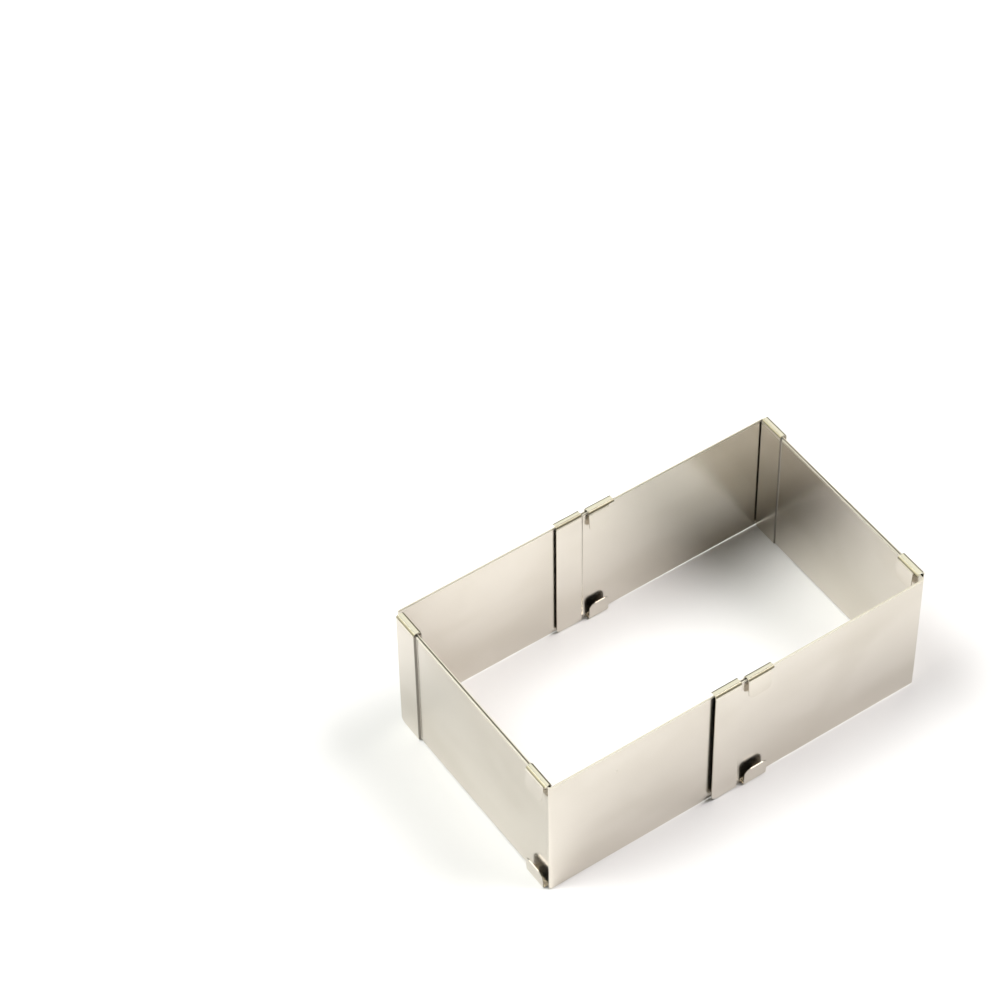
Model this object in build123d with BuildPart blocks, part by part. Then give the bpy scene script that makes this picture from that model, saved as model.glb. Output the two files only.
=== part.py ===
# Adjustable rectangular cake frame: four L-shaped sheet steel panels that slide in one another.
# Millimetres, +Z up. The origin is the middle of the frame's footprint, on the surface it rests on.
# The frame stands as it was photographed: pulled out lengthwise along X, closed along Y.

import os

from build123d import *

# The whole frame
closed_side = 160  # outside to outside, fully pushed together
total_height = 100
sheet = 0.6  # thickness of the steel
sheet_gap = 0.8  # air between the two sheets of one side
running_clearance = 0.3  # between edges that pass each other
end_clearance = 1.0  # between a leg's end and the neighbour it meets in a closed corner
overrun = 1  # how far a cut reaches past what it cuts

# Bends
corner_bend = 1.6  # outside radius of a panel's upright corner
top_bend = 1.8  # outside radius of the fold over the top edge
bottom_bend = 1.2  # outside radius of the fold under the bottom edge
joggle_bend = 0.8
joggle_run = 1.0  # length of the slope by which a guide is set off

# The guide at each end of a panel, where the sheet wraps round its neighbour
guide_width = 18.5
outer_step = 1.4  # by which the outer leg's guide is set off outwards
inner_step = 0.7  # by which the inner leg's guide is set off inwards
fold_rise = 1.5  # top of the fold above the sheets' top edges
fold_drop = 1.0  # bottom of the fold below the sheets' bottom edges
flap_length = 17  # from the top of the fold down
flap_clearance = 1.6
flap_flare = 3  # degrees that the flap leans away from the wall
tongue_height = 14.5  # from the bottom of the fold up
tongue_clearance = 2.0
tongue_flare = 4  # degrees that the tongue leans away from the wall
outer_inset = 4  # the outer guide's flap and tongue stop this far short of the sheet's end
inner_inset = 2
tab_corner = 4  # radius of the tabs' free corners
outer_corner = 3.5  # radius of the lower corner at the sheet's end, within the tabs' inset
inner_corner = 1.6

# The pose
rest_spacing = 4.5  # between the two guides of a pulled out side

# What follows from these sizes
sheet_bottom = fold_drop
sheet_top = total_height - fold_rise
sheet_pitch = sheet + sheet_gap  # from one sheet of a side to the other
pair_depth = sheet_pitch + sheet
flap_face = pair_depth + flap_clearance + sheet
tongue_face = pair_depth + tongue_clearance + sheet
flap_end = total_height - flap_length
end_foot = max(sheet_bottom, bottom_bend)  # lower edge of a guide's last stretch, above its bend
flap_lean = Vector(0, flap_length).rotate(Axis.Z, -flap_flare).X
tongue_lean = Vector(0, tongue_height).rotate(Axis.Z, -tongue_flare).X
outer_leg = closed_side - sheet_pitch - pair_depth - inner_step - end_clearance
inner_leg = closed_side - pair_depth - end_clearance
frame_length = outer_leg + sheet_pitch + inner_leg - 2 * guide_width - rest_spacing
frame_width = closed_side

# One panel, its corner at the origin. The outer leg runs along -X, with its outer face on Y = 0.
# The inner leg runs along +Y, with its outer face on X = 0.
outer_end = Plane(origin=(-outer_leg, 0, 0), x_dir=(0, 1, 0), z_dir=(1, 0, 0))
inner_end = Plane(origin=(-sheet, inner_leg, 0), x_dir=(1, 0, 0), z_dir=(0, -1, 0))

with BuildPart() as corner_panel:
    # The upright wall in plan, with the joggle that sets each guide off from its leg
    with BuildSketch(Plane.XY.offset(sheet_bottom)):
        with BuildLine():
            wall_line = FilletPolyline(
                (guide_width - outer_leg - overrun, -outer_step),
                (guide_width - outer_leg, -outer_step),
                (guide_width - outer_leg + joggle_run, 0),
                (0, 0),
                (0, inner_leg - guide_width - joggle_run),
                (-inner_step, inner_leg - guide_width),
                (-inner_step, inner_leg - guide_width + overrun),
                radius=(joggle_bend, joggle_bend, corner_bend, joggle_bend, joggle_bend),
            )
            offset(amount=sheet, side=Side.LEFT)
        make_face()
    extrude(amount=sheet_top - sheet_bottom)

    # The guides: one run of sheet from the flap, over the top, down the wall and up the tongue
    for sheet_end, guide_step, tab_inset in (
        (outer_end, outer_step, outer_inset),
        (inner_end, inner_step, inner_inset),
    ):
        with BuildSketch(sheet_end):
            with BuildLine():
                guide_line = FilletPolyline(
                    (flap_face + flap_lean, flap_end),
                    (flap_face, total_height),
                    (-guide_step, total_height),
                    (-guide_step, 0),
                    (tongue_face, 0),
                    (tongue_face + tongue_lean, tongue_height),
                    radius=(top_bend, top_bend, bottom_bend, bottom_bend),
                )
                offset(amount=sheet, side=Side.LEFT)
            make_face()
        extrude(amount=guide_width)

        # At the very end there is only the wall, with the fold over its top
        with BuildSketch(sheet_end):
            with Locations((-guide_step - overrun, end_foot)):
                Rectangle(
                    tongue_face + tongue_lean + guide_step + 2 * overrun,
                    end_foot + overrun,
                    align=(Align.MIN, Align.MAX),
                )
            with Locations((pair_depth, sheet_top + running_clearance)):
                Rectangle(
                    tongue_face + tongue_lean,
                    sheet_top + running_clearance,
                    align=(Align.MIN, Align.MAX),
                )
        extrude(amount=tab_inset, mode=Mode.SUBTRACT)

    # Rounded free corners: flaps, tongues and the lower corner at each sheet's end
    across_sheet = corner_panel.edges().filter_by(lambda edge: abs(edge.length - sheet) < sheet / 100)
    flap_tips = across_sheet.filter_by_position(Axis.Z, flap_end - sheet, flap_end + sheet)
    tongue_tips = across_sheet.filter_by_position(Axis.Z, tongue_height - sheet, tongue_height + sheet)
    fillet(flap_tips + tongue_tips, radius=tab_corner)
    foot_tips = (
        corner_panel.edges()
        .filter_by(lambda edge: abs(edge.length - sheet) < sheet / 100)
        .filter_by_position(Axis.Z, end_foot - sheet / 100, end_foot + sheet / 100)
    )
    fillet(foot_tips.filter_by(lambda edge: edge.center().X < sheet - outer_leg), radius=outer_corner)
    fillet(foot_tips.filter_by(lambda edge: edge.center().Y > inner_leg - sheet), radius=inner_corner)

# The four panels stand in a ring. Each has its outer leg on one side of the frame
# and its inner leg on the next, so the ring closes on itself like a pinwheel.
half_length = frame_length / 2
half_width = frame_width / 2
panel_spots = {
    "front_right_panel": Location((half_length - sheet_pitch, -half_width, 0), (0, 0, 0)),
    "back_right_panel": Location((half_length, half_width - sheet_pitch, 0), (0, 0, 90)),
    "back_left_panel": Location((sheet_pitch - half_length, half_width, 0), (0, 0, 180)),
    "front_left_panel": Location((-half_length, sheet_pitch - half_width, 0), (0, 0, 270)),
}

os.makedirs("parts", exist_ok=True)
for panel_name, panel_spot in panel_spots.items():
    with BuildPart() as panel:
        with Locations(panel_spot):
            add(corner_panel.part)
    panel.part.label = panel_name
    export_step(panel.part, f"parts/{panel_name}.step")

print(f"frame {frame_length:.1f} x {frame_width:.1f} x {total_height:.1f} mm")
print(f"legs {outer_leg:.1f} and {inner_leg:.1f} mm")
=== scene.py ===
import math

import bpy
from mathutils import Matrix, Vector


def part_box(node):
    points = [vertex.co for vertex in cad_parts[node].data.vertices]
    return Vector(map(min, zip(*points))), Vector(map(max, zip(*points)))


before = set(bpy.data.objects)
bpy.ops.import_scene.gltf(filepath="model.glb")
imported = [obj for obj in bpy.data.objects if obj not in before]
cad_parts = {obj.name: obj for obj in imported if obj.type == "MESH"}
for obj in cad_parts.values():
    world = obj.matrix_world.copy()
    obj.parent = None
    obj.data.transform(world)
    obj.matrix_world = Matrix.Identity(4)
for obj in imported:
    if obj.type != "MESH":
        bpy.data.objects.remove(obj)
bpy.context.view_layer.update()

print("frame loaded:", ", ".join(sorted(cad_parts)))


# Small helpers for node trees. A term is either a socket to link from or a value to set.

def feed(tree, term, target):
    if isinstance(term, bpy.types.NodeSocket):
        tree.links.new(term, target)
    else:
        target.default_value = term


def addNode(tree, kind, spot, terms=None, **settings):
    node = tree.nodes.new(kind)
    node.location = (spot[0] * 200, spot[1] * -180)    # columns and rows in the node editor
    for name, value in settings.items():
        setattr(node, name, value)
    for name, term in (terms or {}).items():
        feed(tree, term, node.inputs[name])
    return node


def calc(tree, operation, spot, *terms):
    return addNode(tree, "ShaderNodeMath", spot, dict(enumerate(terms)), operation=operation).outputs[0]


def vectorCalc(tree, operation, spot, *terms):
    return addNode(tree, "ShaderNodeVectorMath", spot, dict(enumerate(terms)), operation=operation).outputs[0]


def alongLine(tree, vector, direction, spot):
    node = addNode(tree, "ShaderNodeVectorMath", spot, {0: vector, 1: direction}, operation="DOT_PRODUCT")
    return node.outputs["Value"]


def split(tree, vector, spot):
    return addNode(tree, "ShaderNodeSeparateXYZ", spot, {0: vector}).outputs


def rise(tree, value, span, spot, smooth=False):  # from 0 at the span's start to 1 at its end
    return addNode(tree, "ShaderNodeMapRange", spot, {
        "Value": value, "From Min": span[0], "From Max": span[1],
    }, interpolation_type="SMOOTHSTEP" if smooth else "LINEAR").outputs[0]


def fall(tree, value, span, spot, smooth=False):  # from 1 at the span's start to 0 at its end
    return addNode(tree, "ShaderNodeMapRange", spot, {
        "Value": value, "From Min": span[0], "From Max": span[1], "To Min": 1, "To Max": 0,
    }, interpolation_type="SMOOTHSTEP" if smooth else "LINEAR").outputs[0]


def noise(tree, vector, spot, seed=None, **terms):
    inputs = {"Vector": vector} | {name.capitalize(): value for name, value in terms.items()}
    if seed is None:
        return addNode(tree, "ShaderNodeTexNoise", spot, inputs).outputs["Fac"]
    inputs["W"] = seed
    return addNode(tree, "ShaderNodeTexNoise", spot, inputs, noise_dimensions="4D").outputs["Fac"]


def blend(tree, factor, under, over, spot):
    node = addNode(tree, "ShaderNodeMix", spot, {"Factor": factor, "A": under, "B": over}, data_type="RGBA")
    return node.outputs["Result"]


def newGroup(name, inputs, outputs):
    group = bpy.data.node_groups.new(name, "ShaderNodeTree")
    for label, kind in inputs.items():
        group.interface.new_socket(name=label, in_out="INPUT", socket_type="NodeSocket" + kind)
    for label in outputs:
        group.interface.new_socket(name=label, in_out="OUTPUT", socket_type="NodeSocketFloat")
    start = addNode(group, "NodeGroupInput", (-6, 0))
    end = addNode(group, "NodeGroupOutput", (6, 0))
    return group, start.outputs, end.inputs


# Rolled grain: long fine streaks along the sheet, and soft bands in its tone

grainLook = {
    "along": 60,    # repeats per metre along the sheet
    "upwards": 3000,
    "detail": 3,
    "roughness": 0.6,
    "bandAlong": 9,
    "bandUpwards": 21,
    "bandDetail": 2,
    "bandRoughness": 0.5,
}


def makeGrainGroup():
    look = grainLook
    group, start, end = newGroup("rolledGrain", {"Vector": "Vector", "Run": "Vector", "Seed": "Float"},
                                 ("Grain", "Band"))
    along = alongLine(group, start["Vector"], start["Run"], (-5, 0))
    height = split(group, start["Vector"], (-5, 2))["Z"]

    def stretched(row, alongScale, upScale, detail, roughness):
        place = addNode(group, "ShaderNodeCombineXYZ", (-2, row), {
            "X": calc(group, "MULTIPLY", (-3, row), along, alongScale),
            "Y": calc(group, "MULTIPLY", (-3, row + 1), height, upScale),
            "Z": start["Seed"],
        })
        return noise(group, place.outputs[0], (-1, row), scale=1, detail=detail, roughness=roughness)

    streaks = stretched(0, look["along"], look["upwards"], look["detail"], look["roughness"])
    bands = stretched(3, look["bandAlong"], look["bandUpwards"], look["bandDetail"], look["bandRoughness"])
    feed(group, streaks, end["Grain"])
    feed(group, bands, end["Band"])
    return group


# Handling: faint wiped smudges and a few hairline scratches

handlingLook = {
    "smudgeScale": 17,
    "smudgeDetail": 2,
    "smudgeRoughness": 0.5,
    "smudgeDistortion": 0.5,
    "smudgeSpan": (0.42, 0.78),
    "hairTurn": (0.7, 0, -0.785),    # radians
    "hairSize": (0.014, 0.5, 0.014),    # metres, the stretched noise is long along its own Y
    "hairWidth": 0.0035,    # how far from its middle value the noise still shows as a hairline
    "patchScale": 22,    # the hairlines show only in patches
    "patchDetail": 2,
    "patchSpan": (0.5, 0.62),
}


def makeHandlingGroup():
    look = handlingLook
    group, start, end = newGroup("handlingMarks", {"Vector": "Vector", "Seed": "Float"},
                                 ("Smudge", "Scratch"))
    smudges = noise(group, start["Vector"], (-3, 0), seed=start["Seed"], scale=look["smudgeScale"],
                    detail=look["smudgeDetail"], roughness=look["smudgeRoughness"],
                    distortion=look["smudgeDistortion"])
    feed(group, rise(group, smudges, look["smudgeSpan"], (-1, 0), smooth=True), end["Smudge"])

    # hairlines run where a stretched noise crosses its middle value
    turned = addNode(group, "ShaderNodeMapping", (-4, 2), {
        "Vector": start["Vector"], "Rotation": look["hairTurn"], "Scale": look["hairSize"],
    }, vector_type="TEXTURE")
    stretched = noise(group, turned.outputs[0], (-3, 2), seed=start["Seed"], scale=1, detail=0)
    middle = 0.5
    farness = calc(group, "ABSOLUTE", (-1, 2), calc(group, "SUBTRACT", (-2, 2), stretched, middle))
    hairs = fall(group, farness, (0, look["hairWidth"]), (0, 2))
    patches = noise(group, start["Vector"], (-3, 4), scale=look["patchScale"], detail=look["patchDetail"])
    feed(group, calc(group, "MULTIPLY", (2, 2), hairs, rise(group, patches, look["patchSpan"], (0, 4))),
         end["Scratch"])
    return group


# Worn edges: the tops and undersides of the folds, and what lies near their level, are rubbed brighter,
# with a ragged border

edgeLook = {
    "width": 0.0016,
    "raggedScale": 240,
    "raggedDetail": 3,
    "raggedAmount": 0.9,
    "span": (0.5, 1.5),    # in widths from the edge
}


def makeEdgeGroup():
    look = edgeLook
    group, start, end = newGroup("wornEdges", {"Vector": "Vector", "Top": "Float", "Foot": "Float"},
                                 ("Edge",))
    height = split(group, start["Vector"], (-5, 0))["Z"]
    nearer = calc(group, "MINIMUM", (-3, 0),
                  calc(group, "SUBTRACT", (-4, 0), start["Top"], height),
                  calc(group, "SUBTRACT", (-4, 1), height, start["Foot"]))
    ragged = noise(group, start["Vector"], (-3, 2), scale=look["raggedScale"], detail=look["raggedDetail"])
    farness = calc(group, "ADD", (0, 0),
                   calc(group, "DIVIDE", (-2, 0), nearer, look["width"]),
                   calc(group, "MULTIPLY", (-1, 1), ragged, look["raggedAmount"]))
    feed(group, fall(group, farness, look["span"], (1, 0), smooth=True), end["Edge"])
    return group


# Creases: painted shade, a dark line in the small upright bends where a leg steps out to its guide

guideWidth = 0.0185    # of each folded guide, along its leg

creaseLook = {
    "slope": 0.001,    # along the leg, from the guide to the leg's own wall
    "width": 0.00085,
    "span": (0.35, 1),    # in widths from the crease's middle
}


def makeCreaseGroup():
    look = creaseLook
    group, start, end = newGroup("guideCreases", {
        "Vector": "Vector", "AcrossX": "Float", "AcrossY": "Float", "AmountX": "Float", "AmountY": "Float",
    }, ("Crease",))
    axes = split(group, start["Vector"], (-5, 0))
    amounts = []
    for row, axis in enumerate("XY"):
        off = calc(group, "SUBTRACT", (-4, row), axes[axis], start["Across" + axis])
        share = calc(group, "DIVIDE", (-2, row), calc(group, "ABSOLUTE", (-3, row), off), look["width"])
        mask = fall(group, share, look["span"], (-1, row), smooth=True)
        amounts.append(calc(group, "MULTIPLY", (0, row), mask, start["Amount" + axis]))
    feed(group, calc(group, "MAXIMUM", (2, 0), *amounts), end["Crease"])
    return group


# Rims and bends: the sheet's upper rim and the lip under it are matte from the shears, below the level of the
# folds, and the steel is dull where it was stretched round a fold, with a dark olive shade painted there

rimLook = {
    "foldLevel": 0.0008,    # what lies higher than this, down from the top, is a fold
    "lipSpan": (0.0021, 0.0034),    # where the lip ends, down from the top
    "facesUp": 0.8,
    "steepSpan": (0.1, 0.4),    # a bend faces upwards by more than this
    "flatSpan": (0.985, 0.92),    # and by less than this
}


def makeRimGroup():
    look = rimLook
    group, start, end = newGroup("rimAndBends", {"Vector": "Vector", "Normal": "Vector", "Top": "Float"},
                                 ("Rim", "Lip", "Bend"))
    height = split(group, start["Vector"], (-4, 0))["Z"]
    facing = split(group, start["Normal"], (-4, 2))["Z"]
    under = calc(group, "SUBTRACT", (-3, 0), start["Top"], height)
    underFolds = calc(group, "GREATER_THAN", (-2, 0), under, look["foldLevel"])
    lip = calc(group, "MULTIPLY", (0, 0), underFolds, fall(group, under, look["lipSpan"], (-1, 0)))
    level = calc(group, "GREATER_THAN", (-2, 2), facing, look["facesUp"])
    feed(group, lip, end["Lip"])
    feed(group, calc(group, "MULTIPLY", (1, 0), lip, level), end["Rim"])
    feed(group, calc(group, "MULTIPLY", (0, 3),
                     rise(group, facing, look["flatSpan"], (-2, 3), smooth=True),
                     rise(group, facing, look["steepSpan"], (-2, 4), smooth=True)), end["Bend"])
    return group


# Pockets: painted shade behind a tongue at the foot, where the slot between tongue and wall lies in shadow.
# The mask is a box that leans as the tongue does.

pocketLook = {
    "foot": 0.0004,    # heights of the box's two ends
    "top": 0.0155,
    "depth": 0.0033,    # from the middle of the tongue's thickness towards the wall
    "overlap": 0.0001,    # and the other way
    "pastGuide": 0.0005,    # past the guide's borders
    "flare": 4,    # degrees that the tongue leans away from its wall
    "outerTongue": 0.0057,    # from the panel's outermost point in to the tongue of the outer leg's guide
    "innerTongue": 0.00131,    # and to that of the inner leg's guide, which lies outside
    "span": (0.87, 1),    # as a share of the box, from its middle
}


def makePocketGroup():
    look = pocketLook
    group, start, end = newGroup("foldPocket", {"Vector": "Vector", "Lean": "Vector", "Middle": "Vector",
                                                "Half": "Vector"}, ("Pocket",))
    height = split(group, start["Vector"], (-5, 1))["Z"]
    lean = addNode(group, "ShaderNodeVectorMath", (-4, 1), {0: start["Lean"], "Scale": height},
                   operation="SCALE")
    upright = vectorCalc(group, "ADD", (-3, 0), start["Vector"], lean.outputs[0])
    off = vectorCalc(group, "SUBTRACT", (-2, 0), upright, start["Middle"])
    share = vectorCalc(group, "DIVIDE", (0, 0), vectorCalc(group, "ABSOLUTE", (-1, 0), off), start["Half"])
    axes = split(group, share, (1, 0))
    widest = calc(group, "MAXIMUM", (3, 0), calc(group, "MAXIMUM", (2, 0), axes["X"], axes["Y"]), axes["Z"])
    feed(group, fall(group, widest, look["span"], (4, 0)), end["Pocket"])
    return group


def pocketBox(marks, low, high, along):
    look = pocketLook
    across = 1 - along
    # a leg lies on the side where its panel's other leg starts
    out, face = (-1, low[across]) if marks["ends"][across] == "high" else (1, high[across])
    endsAt, back = (high[along], -1) if marks["ends"][along] == "high" else (low[along], 1)
    isOuter = along == marks["outerAlong"]
    tongue = face - out * look["outerTongue" if isOuter else "innerTongue"]
    toWall = out if isOuter else -out
    lean, middle, half = Vector(), Vector(), Vector()
    lean[across] = toWall * math.tan(math.radians(look["flare"]))
    middle[along] = endsAt + back * guideWidth / 2
    middle[across] = tongue + toWall * (look["depth"] - look["overlap"]) / 2
    middle.z = (look["foot"] + look["top"]) / 2
    half[along] = guideWidth / 2 + look["pastGuide"]
    half[across] = (look["depth"] + look["overlap"]) / 2
    half.z = (look["top"] - look["foot"]) / 2
    return {"Lean": lean, "Middle": middle, "Half": half}


# The steel: satin stainless sheet, one material for each panel so that no two show the same marks

steelLook = {
    "colour": (0.7, 0.658, 0.591),
    "shade": (0.625, 0.582, 0.51),
    "bandSpan": (0.3, 0.55),
    "smudgeShade": 0.6,
    "edgeColour": (0.8, 0.77, 0.65),
    "lipColour": (0.8, 0.765, 0.67),
    "rimColour": (0.72, 0.69, 0.59),
    # the dark bend, crease and pocket colours below are painted shade
    "bendShadeColour": (0.34, 0.31, 0.215),
    "creaseShadeColour": (0.10, 0.085, 0.07),
    "pocketShadeColour": (0.14, 0.122, 0.1),
    "roughness": 0.21,    # under 0.27 with grain and smudges: where it crossed that, hard patches showed
    "grainRoughness": 0.04,
    "smudgeRoughness": 0.03,
    "scratchRoughness": 0.05,
    "edgeRoughness": -0.03,
    "rimRoughness": 0.1,
    "lipRoughness": 0.4,
    "bendRoughness": 0.3,
    "anisotropy": 0.25,
    "grainDepth": 0.000003,
    "grainStrength": 0.6,
    "waveDepth": 0.00012,
    "waveScale": 16,
    "waveDetail": 1,
}

# run: the rolling direction. ends: the sides of the panel's box, along X and along Y, where its legs end.
# outerAlong: 0 where the outer leg runs along X, 1 along Y. Last, how dark the painted shade in the crease is
# beside each end.
panelMarks = {
    "front_left_panel": {"seed": 3.1, "run": (1, -1, 0), "ends": ("high", "high"), "outerAlong": 1,
                         "creaseShade": (0.1, 0.8)},
    "front_right_panel": {"seed": 11.7, "run": (1, 1, 0), "ends": ("low", "high"), "outerAlong": 0,
                          "creaseShade": (0.06, 0.8)},
    "back_left_panel": {"seed": 23.9, "run": (1, 1, 0), "ends": ("high", "low"), "outerAlong": 0,
                        "creaseShade": (0.2, 0.2)},
    "back_right_panel": {"seed": 41.3, "run": (1, -1, 0), "ends": ("low", "low"), "outerAlong": 1,
                         "creaseShade": (0.03, 0.3)},
}


def steelMasks(tree, marks, groups, low, high):
    place = addNode(tree, "ShaderNodeTexCoord", (-8, 0)).outputs
    creaseIn = guideWidth + creaseLook["slope"] / 2    # from a leg's end to the middle of its crease
    creaseAt = [high[axis] - creaseIn if end == "high" else low[axis] + creaseIn
                for axis, end in enumerate(marks["ends"])]
    wanted = (
        ("grain", {"Run": marks["run"], "Seed": marks["seed"]}),
        ("handling", {"Seed": marks["seed"]}),
        ("edges", {"Top": high.z, "Foot": low.z}),
        ("creases", {"AcrossX": creaseAt[0], "AcrossY": creaseAt[1],
                     "AmountX": marks["creaseShade"][0], "AmountY": marks["creaseShade"][1]}),
        ("rim", {"Normal": place["Normal"], "Top": high.z}),
    )
    masks = {}
    for row, (name, terms) in enumerate(wanted):
        node = addNode(tree, "ShaderNodeGroup", (-6, 2 * row), node_tree=groups[name])
        for label, term in ({"Vector": place["Object"]} | terms).items():
            feed(tree, term, node.inputs[label])
        masks |= {mask.name: mask for mask in node.outputs}
    for along in (0, 1):
        node = addNode(tree, "ShaderNodeGroup", (-6, 10 + 2 * along), node_tree=groups["pocket"])
        for label, term in ({"Vector": place["Object"]} | pocketBox(marks, low, high, along)).items():
            feed(tree, term, node.inputs[label])
        masks["Pocket" + "XY"[along]] = node.outputs["Pocket"]
    return place["Object"], masks


def steelMaterial(name, marks, groups, low, high):
    look = steelLook
    material = bpy.data.materials.new(name)
    material.use_nodes = True
    tree = material.node_tree
    tree.nodes.clear()
    vector, masks = steelMasks(tree, marks, groups, low, high)

    # colour: warm steel, a little greyer in bands and under smudges, then what lies over it, the dark bend,
    # crease and pocket colours being painted shade
    shade = (*look["shade"], 1)
    banded = rise(tree, masks["Band"], look["bandSpan"], (-4, 0))
    colour = blend(tree, banded, shade, (*look["colour"], 1), (-3, 0))
    wiped = calc(tree, "MULTIPLY", (-3, 1), masks["Smudge"], look["smudgeShade"])
    colour = blend(tree, wiped, colour, shade, (-2, 0))
    layers = (("Edge", "edgeColour"), ("Lip", "lipColour"), ("Rim", "rimColour"), ("Bend", "bendShadeColour"),
              ("Crease", "creaseShadeColour"), ("PocketX", "pocketShadeColour"), ("PocketY", "pocketShadeColour"))
    for column, (mask, tint) in enumerate(layers):
        colour = blend(tree, masks[mask], colour, (*look[tint], 1), (column - 1, 0))

    # roughness: a base value, and what the grain, the marks and the wear add
    roughness = look["roughness"] - look["grainRoughness"] / 2
    for column, mask in enumerate(("Grain", "Smudge", "Scratch", "Edge", "Rim", "Lip", "Bend")):
        roughness = calc(tree, "MULTIPLY_ADD", (column - 3, 3), masks[mask], look[mask.lower() + "Roughness"],
                         roughness)

    # relief: the sheet's slight waviness, then the grain
    waves = noise(tree, vector, (-4, 6), seed=marks["seed"], scale=look["waveScale"],
                  detail=look["waveDetail"])
    wavy = addNode(tree, "ShaderNodeBump", (-2, 6), {
        "Strength": 1, "Distance": look["waveDepth"], "Height": waves,
    })
    grained = addNode(tree, "ShaderNodeBump", (-1, 6), {
        "Strength": look["grainStrength"], "Distance": look["grainDepth"], "Height": masks["Grain"],
        "Normal": wavy.outputs["Normal"],
    })

    level = addNode(tree, "ShaderNodeTangent", (0, 6), direction_type="RADIAL", axis="Z")
    shader = addNode(tree, "ShaderNodeBsdfPrincipled", (7, 0), {
        "Base Color": colour, "Metallic": 1, "Roughness": roughness, "Normal": grained.outputs["Normal"],
        "Anisotropic": look["anisotropy"], "Tangent": level.outputs["Tangent"],
    })
    addNode(tree, "ShaderNodeOutputMaterial", (9, 0), {"Surface": shader.outputs["BSDF"]})
    return material


def dressPanels():
    groups = {"grain": makeGrainGroup(), "handling": makeHandlingGroup(), "edges": makeEdgeGroup(),
              "creases": makeCreaseGroup(), "rim": makeRimGroup(), "pocket": makePocketGroup()}
    for name, marks in panelMarks.items():
        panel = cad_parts[name]
        low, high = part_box(name)
        steel = steelMaterial(name + "_steel", marks, groups, low, high)
        panel.data.materials.clear()
        panel.data.materials.append(steel)


dressPanels()
print("panels dressed in satin steel")


# The table: a plain pale floor

tableLook = {
    "colour": (0.9, 0.9, 0.895),
    "mottle": 0.99,    # the mottling's darkest tone, as a share of the colour
    "mottleScale": 6,
    "mottleDetail": 3,
    "roughness": 0.65,
    "specular": 0.1,
    "radius": 6.0,
    "corners": 96,
}


def makeTable():
    look = tableLook
    bpy.ops.mesh.primitive_circle_add(vertices=look["corners"], radius=look["radius"], fill_type="NGON")
    table = bpy.context.object
    table.name = "table"
    material = bpy.data.materials.new("paleTable")
    material.use_nodes = True
    tree = material.node_tree
    place = addNode(tree, "ShaderNodeTexCoord", (-6, 0))
    mottle = noise(tree, place.outputs["Object"], (-5, 0), scale=look["mottleScale"],
                   detail=look["mottleDetail"])
    darker = [part * look["mottle"] for part in look["colour"]]
    shader = tree.nodes["Principled BSDF"]
    feed(tree, blend(tree, mottle, (*look["colour"], 1), (*darker, 1), (-3, 0)), shader.inputs["Base Color"])
    feed(tree, look["roughness"], shader.inputs["Roughness"])
    feed(tree, look["specular"], shader.inputs["Specular IOR Level"])
    table.data.materials.append(material)


makeTable()


# The light: soft panels round a dim studio. Each is a round patch of sky, full inside its core and gone at
# its rim. toward: azimuth from +X to +Y and elevation, in degrees. core and rim: degrees from its middle.

softLights = {
    "rightPanel": {"toward": (334, 51.5), "core": 7, "rim": 21, "strength": 11.0,
                   "colour": (1.0, 0.967, 0.965)},
    "leftPanel": {"toward": (145, 57), "core": 7, "rim": 24, "strength": 9.3,
                  "colour": (0.99, 1.0, 0.98)},
    "lowLeftPanel": {"toward": (163, 5), "core": 8, "rim": 26, "strength": 4.3,
                     "colour": (0.97, 1.0, 0.95)},
    "backPanel": {"toward": (56, 49), "core": 10, "rim": 25, "strength": 1.05,
                  "colour": (1.0, 0.99, 0.9)},
}
studio = {
    "dim": (1.0, 0.97, 0.93),
    "dimStrength": 0.03,
    "background": 1.2,    # what the camera sees past the table
}


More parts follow.
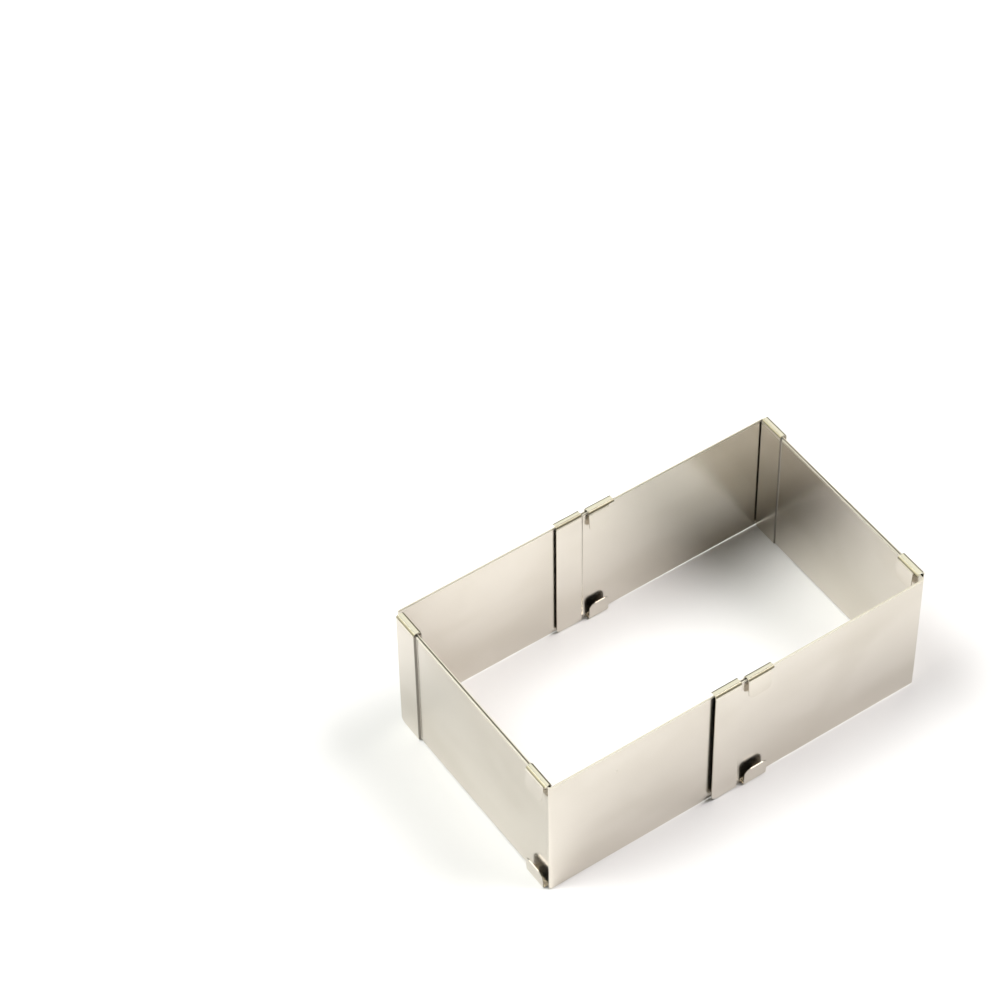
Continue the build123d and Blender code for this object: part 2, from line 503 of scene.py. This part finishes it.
def lightStudio():
    world = bpy.data.worlds.new("studio")
    bpy.context.scene.world = world
    world.use_nodes = True
    tree = world.node_tree
    tree.nodes.clear()
    place = addNode(tree, "ShaderNodeTexCoord", (-6, 0)).outputs["Generated"]
    total = addNode(tree, "ShaderNodeBackground", (-2, -1), {"Color": (*studio["dim"], 1),
                                                             "Strength": studio["dimStrength"]})
    for row, light in enumerate(softLights.values()):
        turn, height = (math.radians(angle) for angle in light["toward"])
        toward = (math.cos(height) * math.cos(turn), math.cos(height) * math.sin(turn), math.sin(height))
        patch = addNode(tree, "ShaderNodeMapRange", (-4, row), {
            "Value": alongLine(tree, place, toward, (-5, row)),
            "From Min": math.cos(math.radians(light["rim"])),
            "From Max": math.cos(math.radians(light["core"])),
            "To Max": light["strength"],
        }, interpolation_type="SMOOTHSTEP")
        glow = addNode(tree, "ShaderNodeBackground", (-3, row), {"Color": (*light["colour"], 1),
                                                                 "Strength": patch.outputs[0]})
        total = addNode(tree, "ShaderNodeAddShader", (-1, row), {0: total.outputs[0], 1: glow.outputs[0]})
    seen = addNode(tree, "ShaderNodeBackground", (0, 3), {"Strength": studio["background"]})
    rays = addNode(tree, "ShaderNodeLightPath", (0, -2))
    both = addNode(tree, "ShaderNodeMixShader", (1, 1), {
        0: rays.outputs["Is Camera Ray"], 1: total.outputs[0], 2: seen.outputs[0],
    })
    addNode(tree, "ShaderNodeOutputWorld", (2, 1), {"Surface": both.outputs[0]})


lightStudio()
print("table and light ready")


# The camera: the photo's viewpoint

photoView = {
    "azimuth": -33.528,    # degrees, from straight in front of the long side
    "elevation": 48.498,
    "roll": -1.346,
    "distance": 2.203,
    "aim": (-0.0115, 0.1525, 0.05),
    "lens": 127.3,    # millimetres, and so is the sensor
    "sensor": 36,
}


def placeCamera():
    camera = bpy.data.objects.new("camera", bpy.data.cameras.new("camera"))
    bpy.context.scene.collection.objects.link(camera)
    camera.data.lens = photoView["lens"]
    camera.data.sensor_width = photoView["sensor"]
    azimuth, elevation = math.radians(photoView["azimuth"]), math.radians(photoView["elevation"])
    back = Vector((math.sin(azimuth) * math.cos(elevation),
                   -math.cos(azimuth) * math.cos(elevation),
                   math.sin(elevation)))
    upright = (-back).to_track_quat("-Z", "Y").to_matrix()
    roll = Matrix.Rotation(math.radians(photoView["roll"]), 3, "Z")
    camera.matrix_world = (
        Matrix.Translation(Vector(photoView["aim"]) + back * photoView["distance"])
        @ (upright @ roll).to_4x4()
    )
    bpy.context.scene.camera = camera


placeCamera()
bpy.context.scene.view_settings.view_transform = "Standard"
print("camera placed")
